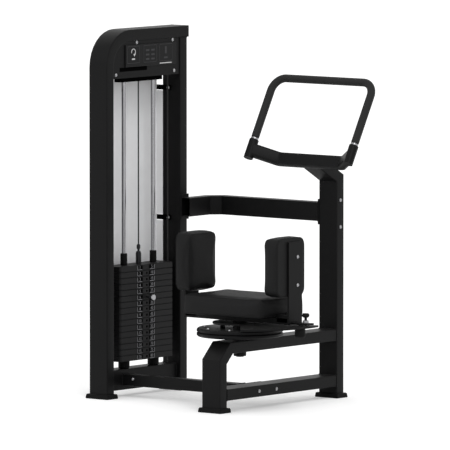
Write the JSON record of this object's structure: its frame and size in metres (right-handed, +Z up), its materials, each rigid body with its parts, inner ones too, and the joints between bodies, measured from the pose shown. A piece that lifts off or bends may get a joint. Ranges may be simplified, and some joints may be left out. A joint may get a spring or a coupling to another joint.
{
  "type": "kneeling torso rotation machine",
  "caption": "Selectorized strength machine: a weight stack tower, a turning kneeling seat with side pads over a drive disc, and a fixed padded hoop handle on a tubular frame.",
  "frame": {"origin": "on the floor at the middle of the machine's bounding box", "axes": "+Z up, +X from the user's back to the handle, +Y from the seat to the stack tower"},
  "size_m": [0.9612, 1.1898, 1.6],
  "materials": {
    "frame_black": "satin powder coat",
    "foot_rubber": "matte",
    "chrome": "polished",
    "stack_black": "painted, satin",
    "vinyl_black": "matte vinyl",
    "foam_black": "matte foam",
    "shroud_grey": "satin",
    "placard_black": "gloss",
    "cable_black": "coated cable",
    "sheave_black": "satin",
    "board_black": "painted, matte",
    "machined_steel": "machined"
  },
  "bodies": {
    "frame": {"arch_column": "frame_black", "cable_over_sheaves": "cable_black", "far_grip_ring": "chrome", "front_panel": "frame_black", "front_post_foot": "foot_rubber", "handle_bar": "frame_black", "handle_grip": "foam_black", "handle_hoop": "frame_black", "handle_post": "frame_black", "handle_post_foot": "foot_rubber", "left_column_foot": "foot_rubber", "left_guide_rod": "chrome", "left_stack_bumper": "foot_rubber", "link_tube": "frame_black", "low_rail": "frame_black", "lower_left_guard_bracket": "foot_rubber", "lower_right_guard_bracket": "foot_rubber", "near_grip_ring": "chrome", "placard": "placard_black", "rear_guard": "shroud_grey", "resting_plates": "stack_black", "right_column": "frame_black", "right_column_foot": "foot_rubber", "right_guide_rod": "chrome", "right_stack_bumper": "foot_rubber", "rod_head_bar": "frame_black", "seat_frame_tube": "frame_black", "spindle_bush": "machined_steel", "stack_cable": "cable_black", "top_tube_cap": "foot_rubber", "tower_base_rail": "frame_black", "upper_beam": "frame_black", "upper_left_guard_bracket": "foot_rubber", "upper_right_guard_bracket": "foot_rubber"},
    "centre_sheave": {"centre_sheave": "sheave_black"},
    "side_sheave": {"side_sheave": "sheave_black"},
    "stack_lift": {"weight_plate_1": "stack_black", "weight_plate_2": "stack_black", "weight_plate_3": "stack_black", "weight_plate_4": "stack_black", "weight_plate_5": "stack_black", "head_plate": "stack_black", "selector_rod": "machined_steel", "left_rod_sleeve": "foot_rubber", "right_rod_sleeve": "foot_rubber"},
    "selector_pin": {"selector_pin": "chrome"},
    "turntable": {"spindle": "machined_steel", "spindle_nut": "frame_black", "drive_disc": "frame_black", "index_plate": "frame_black", "index_bumper": "foot_rubber"},
    "seat": {"seat_yoke": "frame_black", "seat_board": "board_black", "seat_cushion": "vinyl_black", "near_pad_cushion": "vinyl_black", "near_pad_board": "board_black", "far_pad_cushion": "vinyl_black", "far_pad_board": "board_black", "pull_pin_housing": "machined_steel"},
    "pull_pin": {"pull_pin": "frame_black"}
  },
  "joints": [
    {"name": "turntable_turn", "type": "hinge", "parent": "frame", "child": "turntable", "pos_m": [-0.1907, -0.22, 0.316], "axis": [0, 0, 1], "range_deg": [0, 90]},
    {"name": "stack_rise", "type": "slide", "parent": "frame", "child": "stack_lift", "axis": [0, 0, 1], "range_m": [0, 0.28481], "deforming": ["stack_cable"]},
    {"name": "centre_sheave_spin", "type": "hinge", "parent": "frame", "child": "centre_sheave", "pos_m": [0.0626, 0.515, 1.45], "axis": [0, 1, 0], "range_deg": [0, 350]},
    {"name": "side_sheave_spin", "type": "hinge", "parent": "frame", "child": "side_sheave", "pos_m": [0.1703, 0.515, 1.45], "axis": [0, 1, 0], "range_deg": [0, 350]},
    {"name": "seat_start_angle", "type": "hinge", "parent": "turntable", "child": "seat", "pos_m": [-0.1907, -0.22, 0.382], "axis": [0, 0, 1], "range_deg": [-45, 0]},
    {"name": "pull_pin_slide", "type": "slide", "parent": "seat", "child": "pull_pin", "axis": [0, 0, 1], "range_m": [-0.012, 0]},
    {"name": "selector_pin_slide", "type": "slide", "parent": "stack_lift", "child": "selector_pin", "axis": [0, -1, 0], "range_m": [0, 0.07]}
  ],
  "couplings": [
    {"joint": "stack_rise", "follows": "turntable_turn", "m_per_rad": 0.181},
    {"joint": "centre_sheave_spin", "follows": "turntable_turn", "ratio": 3.8675},
    {"joint": "side_sheave_spin", "follows": "turntable_turn", "ratio": 3.8675}
  ]
}
